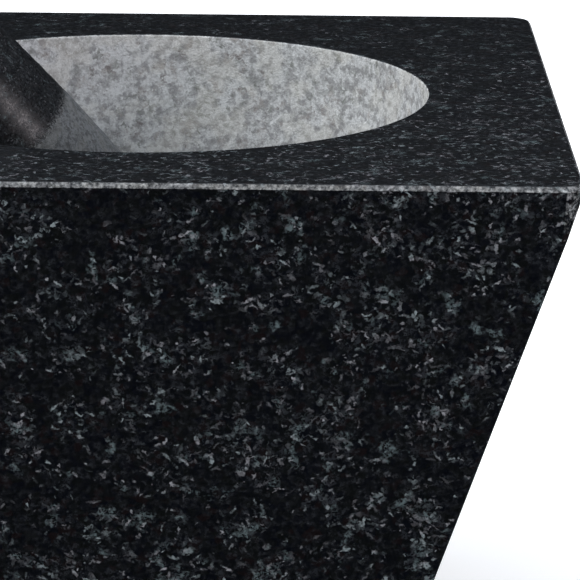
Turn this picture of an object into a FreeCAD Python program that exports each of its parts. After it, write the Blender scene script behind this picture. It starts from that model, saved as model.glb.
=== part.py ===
"""Square granite mortar and pestle, as a parametric FreeCAD document.

The mortar is one block of black granite: a square top that narrows towards
the base, with a round bowl sunk in it. The pestle is a separate turned stone
that leans in the bowl. Four rubber pads are stuck under the base.

Frame: millimetres, +Z up, the front of the block faces -Y. The origin is the
middle of the base, on the surface that the pads stand on.
"""

import FreeCAD, Part
import math
import os

import Sketcher
from FreeCAD import Placement, Rotation, Vector

# The driving dimensions. Lengths are in millimetres and angles in degrees.
DIMENSIONS = {
    # mortar block
    "top_side": 150.0,          # side of the square top
    "base_side": 90.0,          # side of the square underside
    "block_height": 100.0,      # stone only, without the pads
    "edge_bevel": 0.9,          # ground bevel along every outside edge
    "corner_cut": 3.1,          # top corners are ground off this far along each edge
    "corner_drop": 9.4,         # and this far down the slanting corner edge
    # bowl: a hemisphere below a short straight wall
    "bowl_radius": 51.75,
    "bowl_wall": 6.0,
    # pestle, measured along its axis from the grinding tip
    "pestle_length": 150.0,
    "head_radius": 15.4,        # at the thickest place
    "head_station": 46.0,       # where that is
    "head_swell": 340.0,        # radius of the long convex side of the head
    "grip_radius": 11.5,        # at the thinnest place
    "grip_station": 122.0,
    # how the pestle leans in the bowl
    "lean_angle": 50.0,         # above the horizontal
    "lean_heading": 18.0,       # turned from -X towards the front
    "rest_gap": 0.3,            # kept free between the pestle and the mortar
    # rubber pads under the base
    "pad_diameter": 16.0,
    "pad_height": 2.5,
    "pad_bevel": 0.5,
    "pad_spacing": 60.0,        # between the pads' centres, both ways
}

PAD_CORNERS = {
    "pad_front_left": (-1, -1),
    "pad_front_right": (1, -1),
    "pad_back_left": (-1, 1),
    "pad_back_right": (1, 1),
}


def make_sheet(doc):
    """Put the driving dimensions in a spreadsheet, one aliased cell each."""
    sheet = doc.addObject("Spreadsheet::Sheet", "dimensions")
    for row, (name, value) in enumerate(DIMENSIONS.items(), start=1):
        sheet.set(f"A{row}", name)
        sheet.set(f"B{row}", str(value))
        sheet.setAlias(f"B{row}", name)
    doc.recompute()
    return sheet


def origin_feature(body, role):
    """One of the body's own origin planes or axes, found by its role."""
    return next(item for item in body.Origin.OriginFeatures if item.Role == role)


def new_body(doc, label):
    body = doc.addObject("PartDesign::Body", label)
    body.Label = label
    return body


def new_sketch(body, name, plane="XY_Plane"):
    sketch = body.newObject("Sketcher::SketchObject", name)
    sketch.AttachmentSupport = [(origin_feature(body, plane), "")]
    sketch.MapMode = "FlatFace"
    return sketch


def bind(item, bindings):
    """Tie properties of a document object to spreadsheet expressions."""
    for path, expression in bindings.items():
        item.setExpression(path, expression)


def constrain(sketch, constraint, expression=None):
    """Add a constraint, bound to a spreadsheet expression if one is given."""
    index = sketch.addConstraint(constraint)
    if expression:
        sketch.setExpression(f"Constraints[{index}]", expression)


def draw_outline(sketch, side, leg):
    """A square with cut corners, centred on the sketch's origin.

    side and leg are (value, expression) pairs: the square's full side, and
    how far along each side a corner is cut off.
    """
    half = side[0] / 2
    inner = half - leg[0]
    points = [Vector(-inner, -half, 0), Vector(inner, -half, 0),
              Vector(half, -inner, 0), Vector(half, inner, 0),
              Vector(inner, half, 0), Vector(-inner, half, 0),
              Vector(-half, inner, 0), Vector(-half, -inner, 0)]
    count = len(points)
    for index in range(count):
        sketch.addGeometry(Part.LineSegment(points[index], points[(index + 1) % count]), False)
    for index in range(count):
        constrain(sketch, Sketcher.Constraint("Coincident", index, 2, (index + 1) % count, 1))
    half_expression = f"({side[1]}) / 2"
    constrain(sketch, Sketcher.Constraint("Horizontal", 0))
    constrain(sketch, Sketcher.Constraint("Vertical", 2))
    constrain(sketch, Sketcher.Constraint("Horizontal", 4))
    constrain(sketch, Sketcher.Constraint("Vertical", 6))
    constrain(sketch, Sketcher.Constraint("DistanceY", 0, 1, -1, 1, half), half_expression)
    constrain(sketch, Sketcher.Constraint("DistanceX", -1, 1, 2, 1, half), half_expression)
    constrain(sketch, Sketcher.Constraint("DistanceY", -1, 1, 4, 1, half), half_expression)
    constrain(sketch, Sketcher.Constraint("DistanceX", 6, 1, -1, 1, half), half_expression)
    for corner, (across, up) in {1: ((1, 2), (1, 2)), 3: ((2, 1), (1, 2)),
                                 5: ((2, 1), (2, 1)), 7: ((1, 2), (2, 1))}.items():
        constrain(sketch, Sketcher.Constraint("DistanceX", corner, across[0], corner, across[1], leg[0]),
                  leg[1])
        constrain(sketch, Sketcher.Constraint("DistanceY", corner, up[0], corner, up[1], leg[0]), leg[1])


def make_block(body):
    """The tapering block, lofted through outlines at five heights.

    The lowest and the highest outline are drawn in by the edge bevel. The
    corners keep a narrow bevel up to where the top corners are ground off.
    """
    size = DIMENSIONS
    bevel = size["edge_bevel"]
    taper = (size["top_side"] - size["base_side"]) / size["block_height"]
    taper_text = "(dimensions.top_side - dimensions.base_side) / dimensions.block_height"
    narrow = (bevel, "dimensions.edge_bevel")
    wide = (size["corner_cut"], "dimensions.corner_cut")
    # Each outline: height above the stone's underside, inset from the
    # tapering face, and the length cut off its corners.
    height = size["block_height"]
    outlines = {
        "underside": (0, "0", bevel, "dimensions.edge_bevel", narrow),
        "lower_arris": (bevel, "dimensions.edge_bevel", 0, "0", narrow),
        "corner_start": (height - size["corner_drop"],
                         "dimensions.block_height - dimensions.corner_drop", 0, "0", narrow),
        "upper_arris": (height - bevel, "dimensions.block_height - dimensions.edge_bevel", 0, "0", wide),
        "top": (height, "dimensions.block_height", bevel, "dimensions.edge_bevel", wide),
    }
    sketches = []
    for name, (level, level_text, inset, inset_text, leg) in outlines.items():
        sketch = new_sketch(body, name)
        bind(sketch, {"AttachmentOffset.Base.z": f"dimensions.pad_height + {level_text}"})
        side = size["base_side"] + taper * level - 2 * inset
        side_text = f"dimensions.base_side + {taper_text} * ({level_text}) - 2 * ({inset_text})"
        draw_outline(sketch, (side, side_text), leg)
        sketches.append(sketch)
    block = body.newObject("PartDesign::AdditiveLoft", "tapered_block")
    block.Profile = sketches[0]
    block.Sections = sketches[1:]
    block.Ruled = True


def sink_bowl(body):
    """Turn out the bowl: half of a straight wall with a hemisphere under it."""
    radius = DIMENSIONS["bowl_radius"]
    top = DIMENSIONS["pad_height"] + DIMENSIONS["block_height"]
    spring = top - DIMENSIONS["bowl_wall"]
    profile = new_sketch(body, "bowl_profile", "XZ_Plane")
    mouth = Vector(radius, top, 0)
    wall_foot = Vector(radius, spring, 0)
    bottom = Vector(0, spring - radius, 0)
    middle = Vector(0, top, 0)
    round_part = Part.ArcOfCircle(Part.Circle(Vector(0, spring, 0), Vector(0, 0, 1), radius),
                                  -math.pi / 2, 0)
    profile.addGeometry(Part.LineSegment(middle, mouth), False)
    profile.addGeometry(Part.LineSegment(mouth, wall_foot), False)
    profile.addGeometry(round_part, False)
    profile.addGeometry(Part.LineSegment(bottom, middle), False)
    constrain(profile, Sketcher.Constraint("Coincident", 0, 2, 1, 1))
    constrain(profile, Sketcher.Constraint("Tangent", 1, 2, 2, 2))
    constrain(profile, Sketcher.Constraint("Coincident", 2, 1, 3, 1))
    constrain(profile, Sketcher.Constraint("Coincident", 3, 2, 0, 1))
    constrain(profile, Sketcher.Constraint("Horizontal", 0))
    constrain(profile, Sketcher.Constraint("Vertical", 1))
    constrain(profile, Sketcher.Constraint("PointOnObject", 0, 1, -2))
    constrain(profile, Sketcher.Constraint("PointOnObject", 2, 1, -2))
    constrain(profile, Sketcher.Constraint("PointOnObject", 2, 3, -2))
    constrain(profile, Sketcher.Constraint("DistanceY", 1, 2, 1, 1, DIMENSIONS["bowl_wall"]),
              "dimensions.bowl_wall")
    constrain(profile, Sketcher.Constraint("DistanceX", 0, 1, 0, 2, radius), "dimensions.bowl_radius")
    constrain(profile, Sketcher.Constraint("DistanceY", -1, 1, 0, 1, top),
              "dimensions.pad_height + dimensions.block_height")
    bowl = body.newObject("PartDesign::Groove", "bowl")
    bowl.Profile = profile
    bowl.ReferenceAxis = (profile, ["V_Axis"])
    bowl.Angle = 360
    bowl.Refine = True


def make_mortar(doc):
    body = new_body(doc, "mortar")
    make_block(body)
    sink_bowl(body)
    return body


def pestle_arcs():
    """Centres and radii of the four tangent arcs of the pestle's side.

    The plane is (radius, station). The round tip and the round top end are
    centred on the axis; the head bulges out and the grip curves in.
    """
    swell = DIMENSIONS["head_swell"]
    head = Vector(DIMENSIONS["head_radius"] - swell, DIMENSIONS["head_station"], 0)
    # The grip's radius is what makes its arc touch the head's arc.
    step_in = DIMENSIONS["head_radius"] - DIMENSIONS["grip_radius"]
    run = DIMENSIONS["grip_station"] - DIMENSIONS["head_station"]
    hollow = (run ** 2 + step_in ** 2) / (2 * step_in) - swell
    grip = Vector(DIMENSIONS["grip_radius"] + hollow, DIMENSIONS["grip_station"], 0)
    # The tip's sphere touches the point 0 and the inside of the head's arc.
    lever = swell - DIMENSIONS["head_radius"]
    tip_radius = ((swell ** 2 - lever ** 2 - DIMENSIONS["head_station"] ** 2)
                  / (2 * (swell - DIMENSIONS["head_station"])))
    tip = Vector(0, tip_radius, 0)
    # The top end's sphere touches the full length and the outside of the grip's arc.
    beyond = DIMENSIONS["pestle_length"] - DIMENSIONS["grip_station"]
    reach = DIMENSIONS["grip_radius"] + hollow
    end_radius = (reach ** 2 + beyond ** 2 - hollow ** 2) / (2 * (hollow + beyond))
    end = Vector(0, DIMENSIONS["pestle_length"] - end_radius, 0)
    return {"tip": (tip, tip_radius), "head": (head, swell),
            "grip": (grip, hollow), "end": (end, end_radius)}


def make_pestle(doc):
    """Turn the pestle about its own axis, upright, with the tip at its origin."""
    arcs = pestle_arcs()
    tip, tip_radius = arcs["tip"]
    head, swell = arcs["head"]
    grip, hollow = arcs["grip"]
    end, end_radius = arcs["end"]
    body = new_body(doc, "pestle")
    profile = new_sketch(body, "pestle_profile", "XZ_Plane")

    def arc(centre, radius, first, last):
        """The arc from the point first to the point last, anticlockwise."""
        angles = [math.atan2(point.y - centre.y, point.x - centre.x) for point in (first, last)]
        circle = Part.Circle(centre, Vector(0, 0, 1), radius)
        profile.addGeometry(Part.ArcOfCircle(circle, *angles), False)

    tip_to_head = tip + (tip - head).normalize() * tip_radius
    head_to_grip = head + (grip - head).normalize() * swell
    grip_to_end = end + (grip - end).normalize() * end_radius
    arc(tip, tip_radius, Vector(0, 0, 0), tip_to_head)
    arc(head, swell, tip_to_head, head_to_grip)
    arc(grip, hollow, grip_to_end, head_to_grip)
    arc(end, end_radius, grip_to_end, Vector(0, DIMENSIONS["pestle_length"], 0))
    profile.addGeometry(Part.LineSegment(Vector(0, DIMENSIONS["pestle_length"], 0), Vector(0, 0, 0)),
                        False)
    # Neighbouring arcs meet without a corner, and the end spheres sit on the axis.
    constrain(profile, Sketcher.Constraint("Tangent", 0, 2, 1, 1))
    constrain(profile, Sketcher.Constraint("Tangent", 1, 2, 2, 2))
    constrain(profile, Sketcher.Constraint("Tangent", 2, 1, 3, 1))
    constrain(profile, Sketcher.Constraint("Coincident", 3, 2, 4, 1))
    constrain(profile, Sketcher.Constraint("Coincident", 4, 2, 0, 1))
    constrain(profile, Sketcher.Constraint("Coincident", 0, 1, -1, 1))
    constrain(profile, Sketcher.Constraint("PointOnObject", 0, 3, -2))
    constrain(profile, Sketcher.Constraint("PointOnObject", 3, 3, -2))
    constrain(profile, Sketcher.Constraint("PointOnObject", 4, 1, -2))
    constrain(profile, Sketcher.Constraint("Radius", 1, swell), "dimensions.head_swell")
    constrain(profile, Sketcher.Constraint("DistanceX", 1, 3, -1, 1, -head.x),
              "dimensions.head_swell - dimensions.head_radius")
    constrain(profile, Sketcher.Constraint("DistanceY", -1, 1, 1, 3, head.y), "dimensions.head_station")
    constrain(profile, Sketcher.Constraint("DistanceY", -1, 1, 2, 3, grip.y), "dimensions.grip_station")
    constrain(profile, Sketcher.Constraint("DistanceY", 4, 2, 4, 1, DIMENSIONS["pestle_length"]),
              "dimensions.pestle_length")
    turned = body.newObject("PartDesign::Revolution", "turned_stone")
    turned.Profile = profile
    turned.ReferenceAxis = (profile, ["V_Axis"])
    turned.Angle = 360
    return body


def meet_circles(first, first_radius, second, second_radius):
    """The crossing of two circles that lies to the left of first -> second."""
    between = second - first
    distance = between.Length
    along = (distance ** 2 + first_radius ** 2 - second_radius ** 2) / (2 * distance)
    aside = math.sqrt(first_radius ** 2 - along ** 2)
    ahead = between.normalize()
    left = Vector(-ahead.y, ahead.x, 0)
    return first + ahead * along + left * aside


def seat_pestle(pestle):
    """Lean the pestle on the bowl's rim with its tip on the bowl's floor.

    Worked out in the upright plane through the bowl's axis and the pestle's,
    as (away from the lean, height). The centre of the tip's sphere is one
    fixed distance from the bowl's centre, and the centre of the head's long
    arc, which is rigid with it, is another from the rim.
    """
    arcs = pestle_arcs()
    tip, tip_radius = arcs["tip"]
    head, swell = arcs["head"]
    gap = DIMENSIONS["rest_gap"]
    top = DIMENSIONS["pad_height"] + DIMENSIONS["block_height"]
    angle = math.radians(DIMENSIONS["lean_angle"])
    along = Vector(-math.cos(angle), math.sin(angle), 0)
    over = Vector(math.sin(angle), math.cos(angle), 0)
    tip_to_head_centre = along * (head.y - tip.y) - over * head.x
    bowl_centre = Vector(0, top - DIMENSIONS["bowl_wall"], 0)
    rim = Vector(-DIMENSIONS["bowl_radius"], top, 0)
    sphere = meet_circles(bowl_centre, DIMENSIONS["bowl_radius"] - tip_radius - gap,
                          rim - tip_to_head_centre, swell + gap)
    foot = sphere - along * tip_radius
    # From the upright plane to the part's frame.
    heading = Rotation(Vector(0, 0, 1), DIMENSIONS["lean_heading"])
    lean = Rotation(Vector(0, 1, 0), DIMENSIONS["lean_angle"] - 90)
    pestle.Placement = Placement(heading.multVec(Vector(foot.x, 0, foot.y)), heading.multiply(lean))


def make_pad(doc, label, side_x, side_y):
    """A thin rubber disc with a bevelled lower edge."""
    body = new_body(doc, label)
    outline = new_sketch(body, label + "_outline")
    radius = DIMENSIONS["pad_diameter"] / 2
    outline.addGeometry(Part.Circle(Vector(0, 0, 0), Vector(0, 0, 1), radius), False)
    constrain(outline, Sketcher.Constraint("Coincident", 0, 3, -1, 1))
    constrain(outline, Sketcher.Constraint("Diameter", 0, 2 * radius), "dimensions.pad_diameter")
    disc = body.newObject("PartDesign::Pad", label + "_disc")
    disc.Profile = outline
    bind(disc, {"Length": "dimensions.pad_height"})
    doc.recompute()
    lower = min(range(len(disc.Shape.Edges)), key=lambda index: disc.Shape.Edges[index].CenterOfMass.z)
    bevel = body.newObject("PartDesign::Chamfer", label + "_bevel")
    bevel.Base = (disc, [f"Edge{lower + 1}"])
    bind(bevel, {"Size": "dimensions.pad_bevel"})
    bind(body, {"Placement.Base.x": f"{side_x} * dimensions.pad_spacing / 2",
                "Placement.Base.y": f"{side_y} * dimensions.pad_spacing / 2"})
    return body


def check(doc, parts):
    """Stop if anything in the document failed or a part is not one good solid."""
    for item in doc.Objects:
        if "Invalid" in item.State or "Error" in item.State:
            raise RuntimeError(f"{item.Label} failed: {item.State}")
    for part in parts:
        shape = part.Shape
        if shape.isNull() or not shape.isValid() or len(shape.Solids) != 1:
            raise RuntimeError(f"{part.Label} is not one valid solid")
        box = shape.optimalBoundingBox()
        print(f"{part.Label}: {shape.Volume / 1000:.1f} cm3, "
              f"x {box.XMin:.1f} to {box.XMax:.1f}, y {box.YMin:.1f} to {box.YMax:.1f}, "
              f"z {box.ZMin:.1f} to {box.ZMax:.1f}")


def main():
    doc = FreeCAD.newDocument("granite_mortar_and_pestle")
    make_sheet(doc)
    mortar = make_mortar(doc)
    pestle = make_pestle(doc)
    seat_pestle(pestle)
    pads = [make_pad(doc, label, *sides) for label, sides in PAD_CORNERS.items()]
    doc.recompute()
    parts = [mortar, pestle] + pads
    check(doc, parts)
    print(f"pestle to mortar: {pestle.Shape.distToShape(mortar.Shape)[0]:.2f} mm")
    os.makedirs("parts", exist_ok=True)
    for part in parts:
        part.Shape.exportStep(f"parts/{part.Label}.step")


main()
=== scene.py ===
"""Looks of the granite mortar and pestle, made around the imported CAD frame.

Lengths are in metres unless a name says millimetres. The front is -Y.
"""

import math

import bpy
import numpy as np
from mathutils import Matrix, Vector, noise


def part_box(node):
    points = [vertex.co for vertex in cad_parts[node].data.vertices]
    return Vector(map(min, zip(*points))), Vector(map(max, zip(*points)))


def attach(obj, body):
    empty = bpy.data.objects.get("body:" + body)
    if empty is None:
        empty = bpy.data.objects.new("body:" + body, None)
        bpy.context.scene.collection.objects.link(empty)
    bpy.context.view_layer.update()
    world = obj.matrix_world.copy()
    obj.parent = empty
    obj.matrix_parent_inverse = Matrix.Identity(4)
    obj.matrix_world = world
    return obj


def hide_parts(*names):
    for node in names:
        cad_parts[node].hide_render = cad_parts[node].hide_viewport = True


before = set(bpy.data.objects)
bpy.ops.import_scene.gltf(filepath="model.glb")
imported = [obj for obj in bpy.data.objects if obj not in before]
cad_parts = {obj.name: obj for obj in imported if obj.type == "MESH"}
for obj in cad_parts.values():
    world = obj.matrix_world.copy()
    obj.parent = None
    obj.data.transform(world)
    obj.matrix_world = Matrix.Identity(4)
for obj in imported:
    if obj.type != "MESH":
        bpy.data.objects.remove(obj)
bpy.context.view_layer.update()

MM = 0.001
UP = Vector((0, 0, 1))

# ---------------------------------------------------------------- sizes

# The block, as the CAD part has it.
TAPER = 0.30                    # each side leans in by this much of the height
BEVEL = 0.9 * MM                # ground bevel along the outside edges
CORNER_CUT = 3.1 * MM           # top corners are ground off this far along each edge
CORNER_DROP = 9.4 * MM          # and this far down
BOWL_RADIUS = 51.75 * MM
BOWL_WALL = 6.0 * MM            # straight part of the bowl's wall, above the round part

# Details that the CAD part leaves out.
EDGE_SOFT = 0.25 * MM           # rounding where a bevel meets a face
RIM_SOFT = 0.35 * MM            # rounding of the bowl's rim
POLISH_STATION = 59.5 * MM      # the pestle's polish stops this far from its tip
POLISH_BORDER = 3.0 * MM        # and it does so over this length

# How far the stone is ground, between polished, 0, and ground matt, 1.
BEVEL_GROUND = 0.385
FACET_GROUND = 0.29             # the corners between the sides
UNDERSIDE_GROUND = 0.2

mortar_low, mortar_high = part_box("mortar")
BASE_Z = mortar_low.z
TOP_Z = mortar_high.z
TOP_HALF = mortar_high.x + TAPER * BEVEL
BASE_HALF = TOP_HALF - TAPER * (TOP_Z - BASE_Z)


# ---------------------------------------------------------------- mesh tools

def mesh_from_rings(name, rings, first_pole, last_pole):
    """A closed mesh from rings of equally many points, with a point at each end."""
    count = len(rings[0])
    points = [first_pole] + [tuple(point) for ring in rings for point in ring] + [last_pole]
    faces = []
    last = len(points) - 1
    for column in range(count):
        beside = (column + 1) % count
        faces.append((0, 1 + beside, 1 + column))
        faces.append((last, last - count + column, last - count + beside))
    for row in range(len(rings) - 1):
        lower = 1 + row * count
        upper = lower + count
        for column in range(count):
            beside = (column + 1) % count
            faces.append((lower + column, lower + beside, upper + beside, upper + column))
    mesh = bpy.data.meshes.new(name)
    mesh.from_pydata(points, [], faces)
    mesh.validate()
    mesh.shade_smooth()
    thing = bpy.data.objects.new(name, mesh)
    bpy.context.scene.collection.objects.link(thing)
    return thing


def set_point_values(thing, name, values):
    """Store one number per vertex for the material to read."""
    attribute = thing.data.attributes.new(name, "FLOAT", "POINT")
    attribute.data.foreach_set("value", np.asarray(values, dtype=np.float32))


def roughen(thing, depths, scales):
    """Push each vertex along its normal by smooth noise.

    depths has one depth per vertex, and scales lists (size of the bumps, share).
    """
    mesh = thing.data
    normals = [vertex.normal.copy() for vertex in mesh.vertices]
    for vertex, normal, depth in zip(mesh.vertices, normals, depths):
        if depth == 0:
            continue
        lift = sum(share * noise.noise(vertex.co / size) for size, share in scales)
        vertex.co += normal * depth * lift
    mesh.update()


def rounded_path(corners, radii, steps=3):
    """A 2-D path through corners whose inner ones are rounded off with short arcs."""
    path = [Vector(corners[0])]
    for before, corner, after, radius in zip(corners, corners[1:], corners[2:], radii):
        corner = Vector(corner)
        back = (Vector(before) - corner).normalized()
        ahead = (Vector(after) - corner).normalized()
        reach = radius / math.tan(back.angle(ahead) / 2)
        start = corner + back * reach
        end = corner + ahead * reach
        for step in range(steps + 1):
            share = step / steps
            path.append(start.lerp(corner, share).lerp(corner.lerp(end, share), share))
    path.append(Vector(corners[-1]))
    return path


# ---------------------------------------------------------------- mortar

SIDE_COLUMNS = 128              # columns of points on each side of the block
CORNER_COLUMNS = 6              # and on each cut corner
HOLD = 0.15 * MM                # a column of points this close to each corner keeps it crisp
SIDE_ROWS = 26
UNDERSIDE_SHARES = (0.3, 0.6, 0.85)
WALL_ROWS = 7                   # of the straight part of the bowl's wall
BOWL_ROWS = 80
RIM_STEPS = 4
# Where the rings of the flat top lie, from its outline, 0, to the bowl's rim, 1.
TOP_SHARES = (0.012, 0.03, 0.08, 0.2, 0.35, 0.5, 0.65, 0.8, 0.9, 0.96, 0.985)
# Sizes of the waves that grinding left, each with its share of their depth, and the depths.
GRINDING_WAVES = [(5 * MM, 0.6), (1.8 * MM, 0.5), (0.9 * MM, 0.3)]
BOWL_WAVES = 0.14 * MM
BEVEL_WAVES = 0.10 * MM


def square_loop(half, leg):
    """Points round a square with cut corners, from the front left, anticlockwise.

    The cut corners are a little convex, as ground by hand.
    """
    end = half - leg
    run = np.concatenate([[-end], np.linspace(-end + HOLD, end - HOLD, SIDE_COLUMNS - 2), [end]])
    side = np.stack([run, np.full_like(run, -half)], axis=1)
    share = np.linspace(0, 1, CORNER_COLUMNS + 2)[1:-1, None]
    facet = side[-1] + share * np.array([leg, leg])
    facet = facet + 0.5 * leg * share * (1 - share) * np.array([1, -1])
    quarter = np.concatenate([side, facet])
    turns = []
    for turn in range(4):
        cosine = round(math.cos(turn * math.pi / 2))
        sine = round(math.sin(turn * math.pi / 2))
        turns.append(quarter @ np.array([[cosine, sine], [-sine, cosine]]))
    return np.concatenate(turns)


def facet_columns():
    """1 for the columns of points on the cut corners and 0 for the others."""
    side = np.zeros(SIDE_COLUMNS)
    side[0] = side[-1] = 1
    return np.tile(np.concatenate([side, np.ones(CORNER_COLUMNS)]), 4)


def corner_leg(z):
    """How much is cut off the block's corners at a height."""
    start = TOP_Z - CORNER_DROP
    share = min(max((z - start) / (CORNER_DROP - BEVEL), 0), 1)
    return BEVEL + (CORNER_CUT - BEVEL) * share


def at_height(loop, z):
    """A flat ring of points at a height."""
    return np.column_stack([loop, np.full(len(loop), z)])


def outside_rings():
    """Rings from the underside up to the top's edge, each with its ground share."""
    corners = [(BASE_HALF - 6 * MM, BASE_Z),
               (BASE_HALF - BEVEL, BASE_Z),
               (BASE_HALF + TAPER * BEVEL, BASE_Z + BEVEL),
               (TOP_HALF - TAPER * BEVEL, TOP_Z - BEVEL),
               (TOP_HALF - BEVEL, TOP_Z),
               (TOP_HALF - 4 * MM, TOP_Z)]
    path = rounded_path(corners, [EDGE_SOFT] * 4)
    per_corner = (len(path) - 2) // 4
    rings = []
    for share in UNDERSIDE_SHARES:
        rings.append((at_height(square_loop(BASE_HALF * share, BEVEL), BASE_Z), UNDERSIDE_GROUND))
    for index, point in enumerate(path[1:-1]):
        corner, step = divmod(index, per_corner)
        # Each of the four roundings has a bevel on one side of it only.
        share = step / (per_corner - 1)
        ground = BEVEL_GROUND * (share if corner in (0, 2) else 1 - share)
        rings.append((at_height(square_loop(point.x, corner_leg(point.y)), point.y), ground))
        if corner == 1 and step == per_corner - 1:
            rings.extend(side_rings(point, path[1 + 2 * per_corner]))
    return rings


def side_rings(bottom, top):
    """Rings over the flat sides, closer together near both edges."""
    rings = []
    for row in range(1, SIDE_ROWS):
        share = 0.5 - 0.5 * math.cos(math.pi * row / SIDE_ROWS)
        share = 0.5 * share + 0.5 * (3 * share ** 2 - 2 * share ** 3)
        point = bottom.lerp(top, share)
        rings.append((at_height(square_loop(point.x, corner_leg(point.y)), point.y), 0.0))
    return rings


def top_rings(outer):
    """Rings over the flat top, from the square outline to the bowl's round rim.

    Also returns the angle of each column of points as seen from the bowl's axis.
    """
    angles = np.arctan2(outer[:, 1], outer[:, 0])
    rim = (BOWL_RADIUS + RIM_SOFT) * np.stack([np.cos(angles), np.sin(angles)], axis=1)
    rings = []
    for share in TOP_SHARES:
        rings.append((at_height(outer[:, :2] * (1 - share) + rim * share, TOP_Z), 0.0))
    return rings, angles


def bowl_rings(angles):
    """Rings from the rim down the bowl's wall and round to its bottom."""
    spokes = np.stack([np.cos(angles), np.sin(angles)], axis=1)
    rings = []
    for step in range(RIM_STEPS + 1):
        turn = math.pi / 2 * step / RIM_STEPS
        radius = BOWL_RADIUS + RIM_SOFT * (1 - math.sin(turn))
        z = TOP_Z - RIM_SOFT * (1 - math.cos(turn))
        rings.append((at_height(spokes * radius, z), step / RIM_STEPS))
    spring = TOP_Z - BOWL_WALL
    for z in np.linspace(TOP_Z - 2 * RIM_SOFT, spring, WALL_ROWS):
        rings.append((at_height(spokes * BOWL_RADIUS, z), 1.0))
    for row in range(1, BOWL_ROWS):
        turn = math.pi / 2 * row / BOWL_ROWS
        z = spring - BOWL_RADIUS * math.sin(turn)
        rings.append((at_height(spokes * BOWL_RADIUS * math.cos(turn), z), 1.0))
    return rings


def make_mortar():
    """The block with its bowl, one mesh of rings from the underside to the bowl's bottom."""
    outside = outside_rings()
    top, angles = top_rings(outside[-1][0])
    rings = outside + top + bowl_rings(angles)
    bottom = (0, 0, TOP_Z - BOWL_WALL - BOWL_RADIUS)
    mortar = mesh_from_rings("mortar_stone", [ring for ring, _ in rings], (0, 0, BASE_Z), bottom)

    count = len(angles)
    ground = [UNDERSIDE_GROUND] + [share for _, share in rings for _ in range(count)] + [1.0]
    ground = np.array(ground)
    # The cut corners are ground most near the top.
    heights = np.concatenate([ring[:, 2] for ring, _ in outside])
    upper = np.clip((heights - (TOP_Z - 1.6 * CORNER_DROP)) / CORNER_DROP, 0.25, 1)
    facets = np.tile(facet_columns(), len(outside)) * upper
    ground[1:1 + len(facets)] = np.maximum(ground[1:1 + len(facets)], FACET_GROUND * facets)
    set_point_values(mortar, "ground", ground)

    # The rim and the first rings of the wall stay true.
    first_bowl = 1 + (len(outside) + len(top)) * count
    first_wavy = first_bowl + (RIM_STEPS + 4) * count
    depths = np.zeros(len(ground))
    depths[first_wavy:] = BOWL_WAVES
    depths[1:first_bowl] = ground[1:first_bowl] * BEVEL_WAVES
    roughen(mortar, depths, GRINDING_WAVES)
    return mortar


# ---------------------------------------------------------------- pestle

PESTLE_COLUMNS = 144
PESTLE_ROWS = 220
RING_STEP = 0.4 * MM            # vertices this close along the axis belong to one ring
PESTLE_WAVES = [(6 * MM, 0.8), (1.6 * MM, 0.5)]
POLISHED_DEPTH = 0.03 * MM      # depth of the waves on its polished part
GROUND_DEPTH = 0.10 * MM        # and how much deeper they are on the ground part


def pestle_profile():
    """The pestle's tip, axis and outline, read from the vertices of its CAD node.

    The outline is two lists: stations along the axis from the tip, and radii.
    """
    points = [vertex.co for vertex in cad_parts["pestle"].data.vertices]
    points = np.unique(np.round(np.array(points, dtype=float), 7), axis=0)
    middle = points.mean(axis=0)
    axis = np.linalg.svd(points - middle, full_matrices=False)[2][0]
    axis = axis if axis[2] > 0 else -axis
    along = (points - middle) @ axis
    tip = middle + axis * along.min()
    along = along - along.min()
    aside = np.linalg.norm(points - tip - along[:, None] * axis, axis=1)
    steps = np.round(along / RING_STEP)
    stations = [along[steps == step].mean() for step in np.unique(steps)]
    radii = [aside[steps == step].mean() for step in np.unique(steps)]
    return Vector(tip), Vector(axis), stations, radii


def make_pestle():
    """The turned stone, with its lower part ground up to a ragged border."""
    tip, axis, stations, radii = pestle_profile()
    length = stations[-1]
    across = axis.cross(UP).normalized()
    beside = axis.cross(across).normalized()
    angles = np.linspace(0, 2 * math.pi, PESTLE_COLUMNS, endpoint=False)
    spokes = np.outer(np.cos(angles), across) + np.outer(np.sin(angles), beside)
    rings = []
    ground = [1.0]
    for row in range(1, PESTLE_ROWS):
        # Closer together at both round ends.
        share = row / PESTLE_ROWS
        share = 0.5 * share + 0.5 * (0.5 - 0.5 * math.cos(math.pi * share))
        station = length * share
        radius = float(np.interp(station, stations, radii))
        rings.append(np.array(tip + axis * station) + radius * spokes)
        rough = (POLISH_STATION - station) / POLISH_BORDER + 0.5
        ground.extend([min(max(rough, 0), 1)] * PESTLE_COLUMNS)
    ground.append(0.0)
    pestle = mesh_from_rings("pestle_stone", rings, tuple(tip), tuple(tip + axis * length))
    set_point_values(pestle, "ground", ground)
    roughen(pestle, POLISHED_DEPTH + GROUND_DEPTH * np.array(ground), PESTLE_WAVES)
    return pestle


# ---------------------------------------------------------------- pads

PAD_COLUMNS = 72
PAD_SOFT = 0.6 * MM             # rounding of the pad's lower edge
PAD_ARC_STEPS = 6


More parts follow.
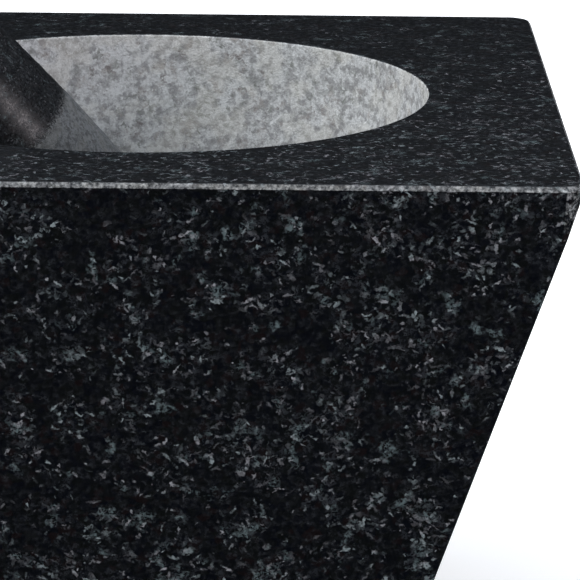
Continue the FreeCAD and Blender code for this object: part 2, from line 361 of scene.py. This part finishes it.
def make_pad(node):
    """A stick-on foot: a rubber disc with a rounded edge and a shallow dished sole."""
    low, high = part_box(node)
    middle = (low + high) / 2
    radius = (high.x - low.x) / 2
    height = high.z - low.z
    outline = [(0.55 * radius, low.z + 0.12 * MM),
               (0.8 * radius, low.z + 0.05 * MM),
               (radius - 1.4 * PAD_SOFT, low.z)]
    for step in range(PAD_ARC_STEPS + 1):
        turn = math.pi / 2 * step / PAD_ARC_STEPS
        outline.append((radius - PAD_SOFT * (1 - math.sin(turn)), low.z + PAD_SOFT * (1 - math.cos(turn))))
    outline += [(radius, high.z - 0.35 * height),
                (radius - 0.1 * MM, high.z - 0.3 * MM),
                (radius - 0.3 * MM, high.z)]
    angles = np.linspace(0, 2 * math.pi, PAD_COLUMNS, endpoint=False)
    spokes = np.stack([np.cos(angles), np.sin(angles)], axis=1)
    centre = np.array([middle.x, middle.y])
    rings = [at_height(centre + reach * spokes, z) for reach, z in outline]
    sole = (middle.x, middle.y, low.z + 0.14 * MM)
    return mesh_from_rings(node + "_rubber", rings, sole, (middle.x, middle.y, high.z))


# ---------------------------------------------------------------- materials

class Shader:
    """Builds one material's nodes. Most calls return the output of the node they make."""

    def __init__(self, name):
        self.material = bpy.data.materials.new(name)
        self.material.use_nodes = True
        self.tree = self.material.node_tree
        self.surface = self.tree.nodes["Principled BSDF"].inputs

    def put(self, socket, value):
        """Link a node's output to a socket, or set a plain value on it."""
        if isinstance(value, bpy.types.NodeSocket):
            self.tree.links.new(value, socket)
        elif isinstance(value, tuple) and len(value) == 3 and len(socket.default_value) == 4:
            socket.default_value = (*value, 1)
        else:
            socket.default_value = value

    def node(self, kind, settings, inputs):
        """Add a node and return it whole."""
        made = self.tree.nodes.new(kind)
        for key, value in settings.items():
            setattr(made, key, value)
        for key, value in inputs.items():
            self.put(made.inputs[key], value)
        return made

    def math(self, operation, *values):
        inputs = dict(enumerate(values))
        return self.node("ShaderNodeMath", {"operation": operation}, inputs).outputs[0]

    def vector(self, operation, *values, **named):
        inputs = dict(enumerate(values)) | named
        return self.node("ShaderNodeVectorMath", {"operation": operation}, inputs).outputs["Vector"]

    def dot(self, first, second):
        settings = {"operation": "DOT_PRODUCT"}
        return self.node("ShaderNodeVectorMath", settings, {0: first, 1: second}).outputs["Value"]

    def ramp(self, value, low, high, to_low=0.0, to_high=1.0):
        """A smooth step from to_low to to_high as the value goes from low to high."""
        settings = {"interpolation_type": "SMOOTHSTEP"}
        inputs = {0: value, 1: low, 2: high, 3: to_low, 4: to_high}
        return self.node("ShaderNodeMapRange", settings, inputs).outputs[0]

    def mix(self, share, first, second):
        """The first colour where share is 0 and the second where it is 1."""
        made = self.node("ShaderNodeMix", {"data_type": "RGBA"}, {0: share, 6: first, 7: second})
        return made.outputs[2]

    def parts(self, colour):
        """The three parts of a colour."""
        return self.node("ShaderNodeSeparateColor", {}, {0: colour}).outputs

    def noise(self, where, scale, detail=2.0, roughness=0.5, output=0):
        """Smooth noise: a number, or three of them with output 1."""
        inputs = {"Vector": where, "Scale": scale, "Detail": detail, "Roughness": roughness}
        return self.node("ShaderNodeTexNoise", {}, inputs).outputs[output]

    def warp(self, points, seeds, scale, detail, roughness, reach):
        """The points, each moved about by smooth noise that is read at its seed."""
        shift = self.noise(seeds, scale, detail, roughness, output=1)
        shift = self.vector("SUBTRACT", shift, (0.5, 0.5, 0.5))
        return self.vector("MULTIPLY_ADD", shift, (reach, reach, reach), points)

    def cells(self, where, scale):
        """A Voronoi pattern, as its whole node."""
        return self.node("ShaderNodeTexVoronoi", {}, {"Vector": where, "Scale": scale})

    def bump(self, height, distance, strength):
        inputs = {"Height": height, "Distance": distance, "Strength": strength}
        return self.node("ShaderNodeBump", {}, inputs).outputs[0]


def millimetres(shader):
    """The object's own coordinates, in millimetres, so that the grain goes with the stone."""
    place = shader.node("ShaderNodeTexCoord", {}, {}).outputs["Object"]
    return shader.vector("SCALE", place, Scale=1 / MM)


def height_and_depth(shader):
    """How high a point is, and how far back, in millimetres."""
    place = shader.node("ShaderNodeSeparateXYZ", {}, {0: millimetres(shader)}).outputs
    return place[2], place[1]


def tinted(colour, red, green, blue):
    """A colour with its parts scaled."""
    return (red * colour[0], green * colour[1], blue * colour[2])


class Grain:
    """The patterns that the layers of one granite share.

    They are read at the points straight, or at the points wavy for less regular
    shapes. One unit of a pattern is a millimetre divided by fineness.
    """

    def __init__(self, shader, fineness):
        self.straight = shader.vector("SCALE", millimetres(shader), Scale=fineness)
        self.wavy = shader.warp(self.straight, self.straight, 1.0, 4.0, 0.62, 0.9)
        self.cloud = shader.noise(self.straight, 0.15, 4.0, 0.66)
        self.fine = shader.noise(self.wavy, 1.1, 4.0, 0.68)
        self.minerals = shader.parts(shader.cells(self.wavy, 0.9).outputs["Color"])


# The light crystals come in four sizes. Each has its cells per unit, its radius
# and half thickness in units, and a shift that makes it a pattern of its own.
CRYSTAL_SIZES = (
    (0.52, 0.90, 0.20, 0.0),
    (0.62, 0.70, 0.19, 7.3),
    (0.75, 0.55, 0.18, 19.1),
    (0.90, 0.42, 0.17, 31.7),
)


def plates(shader, where, amount, scale, radius, thickness, offset):
    """Thin crystals, one in each cell of a Voronoi pattern, each facing its own way.

    A cut through the stone shows them as short streaks. amount is the share of
    the cells that hold one, and may vary from place to place. Returns their
    brightness.
    """
    moved = shader.vector("ADD", where, (offset, offset * 0.7, -offset))
    cells = shader.cells(moved, scale)
    chance = cells.outputs["Color"]
    inside = shader.vector("SUBTRACT", moved, cells.outputs["Position"])
    facing = shader.vector("NORMALIZE", shader.vector("SUBTRACT", chance, (0.5, 0.5, 0.5)))
    depth = shader.dot(inside, facing)
    depth_squared = shader.math("MULTIPLY", depth, depth)
    aside_squared = shader.math("SUBTRACT", shader.dot(inside, inside), depth_squared)
    reach = shader.math("ADD", shader.math("DIVIDE", aside_squared, radius ** 2),
                        shader.math("DIVIDE", depth_squared, thickness ** 2))
    body = shader.ramp(reach, 0.1, 1.6, 1.0, 0.0)
    lot = shader.node("ShaderNodeTexWhiteNoise", {}, {"Vector": chance}).outputs["Color"]
    presence, brightness = shader.parts(lot)[1:3]
    present = shader.ramp(shader.math("SUBTRACT", amount, presence), 0.0, 0.12)
    bright = shader.math("MULTIPLY_ADD", shader.math("POWER", brightness, 2.5), 0.95, 0.15)
    return shader.math("MULTIPLY", body, shader.math("MULTIPLY", present, bright))


def light_crystals(shader, grain, crowd, block):
    """Brightness of the light crystals, which have torn edges and come in clouds."""
    torn = shader.warp(grain.wavy, grain.straight, 2.6, 1.0, 0.5, 0.55)
    amount = shader.math("ADD", shader.ramp(grain.cloud, 0.42, 0.66, 0.07, 0.80), crowd)
    if block:
        # On the flat top they are crowded towards the front and sparse towards the back.
        height, back = height_and_depth(shader)
        on_top = shader.ramp(height, TOP_Z / MM - 0.6, TOP_Z / MM - 0.2)
        extra = shader.ramp(back, -60.0, 75.0, 0.30, -0.10)
        amount = shader.math("MULTIPLY_ADD", on_top, extra, amount)
    crystals = 0.0
    for size in CRYSTAL_SIZES:
        crystals = shader.math("MAXIMUM", crystals, plates(shader, torn, amount, *size))
    flaws = shader.ramp(shader.noise(grain.straight, 2.4, 2.0, 0.6), 0.34, 0.60, 0.40, 1.0)
    crystals = shader.math("MULTIPLY", crystals, flaws)
    if block:
        fade = shader.ramp(back, 0.0, 75.0, 0.0, 0.60)
        keep = shader.math("SUBTRACT", 1.15, shader.math("MULTIPLY", on_top, fade))
        crystals = shader.math("MULTIPLY", crystals, keep)
    return crystals


def polished_stone(shader, grain, crystals, fleck):
    """Colour of the polished stone: dark minerals, pale greenish knots and light crystals."""
    dark = shader.mix(grain.minerals[0], (0.0016, 0.0020, 0.0036), (0.0026, 0.0030, 0.0030))
    dark = shader.mix(shader.ramp(grain.minerals[1], 0.85, 0.95), dark, (0.0045, 0.0030, 0.0034))
    murk = shader.math("MULTIPLY", shader.ramp(grain.fine, 0.42, 0.80),
                       shader.ramp(grain.cloud, 0.38, 0.62, 0.45, 1.0))
    dark = shader.mix(murk, dark, (0.022, 0.025, 0.030))
    grainy = shader.ramp(shader.noise(grain.wavy, 1.9, 3.0, 0.6), 0.42, 0.62)
    knots = shader.ramp(shader.noise(grain.wavy, 0.30, 4.0, 0.55), 0.58, 0.70)
    dark = shader.mix(shader.math("MULTIPLY", knots, grainy), dark, (0.070, 0.092, 0.096))
    hue = shader.ramp(shader.noise(grain.straight, 0.35), 0.42, 0.58)
    light = shader.mix(hue, (0.15, 0.175, 0.182), (0.185, 0.182, 0.196))
    return shader.mix(shader.math("MULTIPLY", crystals, fleck), dark, light)


def ground_stone(shader, grain, crystals, pale, patchy):
    """Colour of the ground stone: two pale tones with spots, dust and brown blotches."""
    tone = shader.ramp(shader.noise(grain.wavy, 0.68, 5.0, 0.68), 0.38, 0.57)
    stone = shader.mix(tone, patchy, pale)

    spots = shader.ramp(grain.minerals[2], 0.55, 0.80)
    spots = shader.math("MULTIPLY", spots, shader.ramp(grain.fine, 0.42, 0.54, 0.95, 0.0))
    spots = shader.math("MULTIPLY", spots, shader.ramp(grain.cloud, 0.42, 0.58, 1.0, 0.35))
    stone = shader.mix(spots, stone, tinted(pale, 0.33, 0.34, 0.31))
    stone = shader.mix(shader.math("MULTIPLY", crystals, 0.6), stone, tinted(pale, 1.3, 1.3, 1.3))
    dust = shader.ramp(shader.noise(grain.straight, 1.9, 3.0, 0.6), 0.45, 0.66)
    stone = shader.mix(shader.math("MULTIPLY", dust, 0.5), stone, tinted(pale, 0.55, 0.55, 0.55))

    blotches = shader.ramp(shader.noise(grain.wavy, 0.26, 5.0, 0.72), 0.54, 0.66)
    stone = shader.mix(shader.math("MULTIPLY", blotches, 0.75), stone, tinted(pale, 0.50, 0.455, 0.43))
    cores = shader.ramp(shader.noise(grain.straight, 0.75, 4.0, 0.68), 0.53, 0.62)
    cores = shader.math("MULTIPLY", cores, shader.ramp(blotches, 0.0, 0.5, 0.15, 1.0))
    stone = shader.mix(shader.math("MULTIPLY", cores, 0.75), stone, tinted(pale, 0.27, 0.24, 0.23))
    warmth = shader.ramp(shader.noise(grain.straight, 0.17, 4.0), 0.46, 0.58)
    return shader.mix(shader.math("MULTIPLY", warmth, 0.30), stone, tinted(pale, 1.05, 1.0, 0.90))


def darker_below(shader, stone):
    """The bowl's stone, which gets darker from 6 to 28 mm below the top."""
    height, _ = height_and_depth(shader)
    shade = shader.ramp(height, TOP_Z / MM - 28, TOP_Z / MM - 6, 0.60, 1.09)
    return shader.vector("SCALE", stone, Scale=shade)


def ground_share(shader, grain, ragged):
    """The mesh's ground value, with a ragged border, as 0 for polished and 1 for ground."""
    ground = shader.node("ShaderNodeAttribute", {"attribute_name": "ground"}, {}).outputs["Fac"]
    edge = shader.math("SUBTRACT", shader.noise(grain.straight, 1.5, 4.0, 0.65), 0.5)
    ground = shader.math("MULTIPLY_ADD", edge, ragged, ground)
    half_width = 0.5 / (1 + ragged)
    return shader.ramp(ground, 0.5 - half_width, 0.5 + half_width)


def granite(name, fineness, pale, patchy, shine, sheen_rough, fleck, crowd, ragged, block):
    """Black granite, polished or ground pale and matt as the mesh's ground value says.

    fineness is how many times finer the grain is than the patterns are as
    written. pale and patchy are the two colours of the ground stone. shine is
    the specular level, and sheen_rough the roughness of the polished stone.
    fleck is how much the light crystals stand out on it, and crowd is added to
    the share of cells that hold one. ragged is how far polish and ground stone
    run into each other where they meet. block is true for the mortar: its flat
    top has fewer light crystals towards the back, and its bowl is darker lower
    down.
    """
    shader = Shader(name)
    grain = Grain(shader, fineness)
    crystals = light_crystals(shader, grain, crowd, block)
    polished = polished_stone(shader, grain, crystals, fleck)
    stone = ground_stone(shader, grain, crystals, pale, patchy)
    if block:
        stone = darker_below(shader, stone)
    ground = ground_share(shader, grain, ragged)
    shader.put(shader.surface["Base Color"], shader.mix(ground, polished, stone))

    gloss = shader.ramp(grain.fine, 0.36, 0.64, sheen_rough - 0.09, sheen_rough + 0.09)
    gloss = shader.math("MULTIPLY_ADD", crystals, 0.12, gloss)
    matt = shader.math("MULTIPLY", ground, 0.85 - sheen_rough)
    shader.put(shader.surface["Roughness"], shader.math("ADD", gloss, matt))
    shader.surface["Specular IOR Level"].default_value = shine
    bumps = shader.math("MULTIPLY", shader.noise(grain.straight, 2.6, 4.0, 0.6), ground)
    shader.put(shader.surface["Normal"], shader.bump(bumps, distance=0.25 * MM, strength=0.8))
    return shader.material


def rubber(name):
    """Black matt rubber with a fine moulded grain and a little dust."""
    shader = Shader(name)
    place = millimetres(shader)
    dust = shader.ramp(shader.noise(place, 0.7, 5.0, 0.7), 0.45, 0.8)
    colour = shader.mix(dust, (0.012, 0.012, 0.013), (0.05, 0.048, 0.045))
    shader.put(shader.surface["Base Color"], colour)
    shader.put(shader.surface["Roughness"], shader.ramp(dust, 0, 1, 0.55, 0.85))
    grain = shader.noise(place, 6.0)
    shader.put(shader.surface["Normal"], shader.bump(grain, distance=0.05 * MM, strength=0.6))
    return shader.material


def dress(thing, material, body, node):
    """Give a piece its material and say what it stands for."""
    thing.data.materials.append(material)
    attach(thing, body)
    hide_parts(node)


# ---------------------------------------------------------------- studio

FLOOR_HALF = 30.0               # wide enough for every view
FLOOR_GLOW = 0.55               # a light table, so the overhang of the block hardly darkens it
LAMP_TINT = (1.0, 0.93, 0.98)
SKY_TINT = (0.93, 1.0, 1.10)
# How bright the sky is, from straight below, 0, to straight above, 1.
SKY_STOPS = ((0.0, 0.01), (0.57, 0.015), (0.66, 0.06), (0.80, 0.38), (1.0, 1.6))


def make_floor():
    """A plain pale floor that glows a little."""
    mesh = bpy.data.meshes.new("floor")
    corners = [(-1, -1), (1, -1), (1, 1), (-1, 1)]
    mesh.from_pydata([(FLOOR_HALF * x, FLOOR_HALF * y, 0) for x, y in corners], [], [(0, 1, 2, 3)])
    floor = bpy.data.objects.new("floor", mesh)
    bpy.context.scene.collection.objects.link(floor)
    shader = Shader("floor_white")
    shader.surface["Base Color"].default_value = (0.86, 0.86, 0.86, 1)
    shader.surface["Roughness"].default_value = 0.9
    shader.surface["Specular IOR Level"].default_value = 0.1
    shader.surface["Emission Color"].default_value = (1, 1, 1, 1)
    shader.surface["Emission Strength"].default_value = FLOOR_GLOW
    mesh.materials.append(shader.material)
    # The sides of the block lean over the floor, and would mirror it.
    floor.visible_glossy = False


def toward(heading, height):
    """The direction at a heading (0 = front, 90 = right) and a height, in degrees."""
    turn = math.radians(heading)
    rise = math.radians(height)
    return Vector((math.sin(turn) * math.cos(rise), -math.cos(turn) * math.cos(rise), math.sin(rise)))


def sun(name, heading, height, spread, strength):
    """Even light on everything, as soft as its spread in degrees."""
    light = bpy.data.lights.new(name, "SUN")
    light.angle = math.radians(spread)
    light.energy = strength
    lamp = bpy.data.objects.new(name, light)
    source = toward(heading, height)
    lamp.rotation_euler = source.to_track_quat("Z", "Y").to_euler()
    lamp.location = source * 3
    bpy.context.scene.collection.objects.link(lamp)


def softbox(name, heading, height, distance, size, power):
    """A square lamp that faces the mortar's top, placed like a sun."""
    light = bpy.data.lights.new(name, "AREA")
    light.size = size
    light.energy = power
    light.color = LAMP_TINT
    lamp = bpy.data.objects.new(name, light)
    source = toward(heading, height)
    lamp.rotation_euler = source.to_track_quat("Z", "Y").to_euler()
    lamp.location = source * distance + Vector((0, 0, TOP_Z))
    bpy.context.scene.collection.objects.link(lamp)


def make_world():
    """Soft light from overhead, dim near the horizon, behind a pale background."""
    world = bpy.data.worlds.new("studio")
    world.use_nodes = True
    tree = world.node_tree
    nodes = tree.nodes
    links = tree.links
    direction = nodes.new("ShaderNodeTexCoord")
    split = nodes.new("ShaderNodeSeparateXYZ")
    links.new(direction.outputs["Generated"], split.inputs[0])
    ramp = nodes.new("ShaderNodeValToRGB")
    ramp.color_ramp.interpolation = "EASE"
    elements = ramp.color_ramp.elements
    while len(elements) < len(SKY_STOPS):
        elements.new(0.5)
    for element, (place, level) in zip(elements, SKY_STOPS):
        element.position = place
        element.color = (*(level * part for part in SKY_TINT), 1)
    rise = nodes.new("ShaderNodeMapRange")
    rise.inputs["From Min"].default_value = -1
    links.new(split.outputs["Z"], rise.inputs["Value"])
    links.new(rise.outputs[0], ramp.inputs[0])
    # The camera itself sees plain white.
    light_path = nodes.new("ShaderNodeLightPath")
    shown = nodes.new("ShaderNodeMix")
    shown.data_type = "RGBA"
    shown.inputs[7].default_value = (1, 1, 1, 1)
    links.new(light_path.outputs["Is Camera Ray"], shown.inputs[0])
    links.new(ramp.outputs[0], shown.inputs[6])
    links.new(shown.outputs[2], nodes["Background"].inputs["Color"])
    bpy.context.scene.world = world


def make_camera():
    """Looks down on the mortar's right-hand top corner from the front."""
    azimuth = math.radians(-0.07)
    elevation = math.radians(14.87)
    roll = math.radians(0.60)
    place = Vector((26.4, -648.6, 134.9)) * MM + Vector((0, 0, TOP_Z))
    ahead = Vector((-math.sin(azimuth) * math.cos(elevation),
                    math.cos(azimuth) * math.cos(elevation),
                    -math.sin(elevation)))
    level_right = ahead.cross(UP).normalized()
    level_above = level_right.cross(ahead)
    right = level_right * math.cos(roll) + level_above * math.sin(roll)
    above = level_above * math.cos(roll) - level_right * math.sin(roll)
    data = bpy.data.cameras.new("camera")
    data.lens = 227.3
    data.sensor_width = 36.0
    camera = bpy.data.objects.new("camera", data)
    camera.matrix_world = Matrix((right, above, -ahead)).transposed().to_4x4()
    camera.location = place
    bpy.context.scene.collection.objects.link(camera)
    bpy.context.scene.camera = camera


# ---------------------------------------------------------------- making

make_camera()

mortar_granite = granite("mortar_granite", fineness=0.85,
                         pale=(0.70, 0.715, 0.72), patchy=(0.32, 0.32, 0.325),
                         shine=0.30, sheen_rough=0.18, fleck=1.0, crowd=0.0, ragged=0.8, block=True)
pestle_granite = granite("pestle_granite", fineness=2.0,
                         pale=(0.168, 0.178, 0.184), patchy=(0.066, 0.071, 0.074),
                         shine=0.30, sheen_rough=0.34, fleck=0.5, crowd=0.3, ragged=2.5, block=False)
dress(make_mortar(), mortar_granite, "mortar", "mortar")
dress(make_pestle(), pestle_granite, "pestle", "pestle")
pad_rubber = rubber("pad_rubber")
for pad_node in ("pad_front_left", "pad_front_right", "pad_back_left", "pad_back_right"):
    dress(make_pad(pad_node), pad_rubber, "mortar", pad_node)

make_floor()
make_world()
sun("key", heading=-75, height=42, spread=45, strength=2.0)
softbox("side", heading=64, height=11, distance=1.5, size=0.45, power=7.0)
bpy.context.scene.view_settings.view_transform = "Standard"
